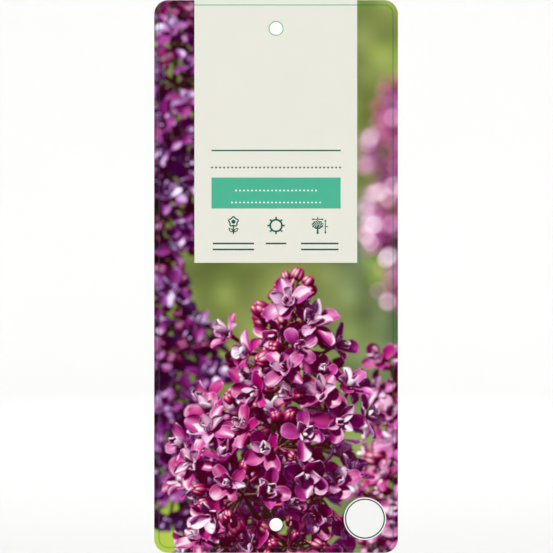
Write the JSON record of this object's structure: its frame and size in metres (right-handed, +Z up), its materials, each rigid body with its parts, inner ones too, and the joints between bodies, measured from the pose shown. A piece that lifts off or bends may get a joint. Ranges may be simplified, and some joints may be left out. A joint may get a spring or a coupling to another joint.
{
  "type": "plant label",
  "caption": "Thin upright plant label card with rounded corners and punched hanging holes, with a printed flower picture, a pale title panel and a care band.",
  "frame": {"origin": "centre of the upper hanging hole, half way through the card's thickness", "axes": "+Z up along the card's length, printed face towards -Y, back face towards +Y, +X to the right seen from the printed side"},
  "size_m": [0.0944, 0.0006, 0.214],
  "materials": {
    "card_stock": "satin",
    "picture_print": "satin",
    "panel_print": "satin",
    "band_print": "satin",
    "dark_ink": "satin",
    "line_ink": "satin"
  },
  "bodies": {
    "root": {"field": "card_stock", "top_left": "card_stock", "top_hole": "card_stock", "top_right": "card_stock", "bottom_left": "card_stock", "bottom_hole": "card_stock", "bottom_right": "card_stock"}
  },
  "joints": []
}
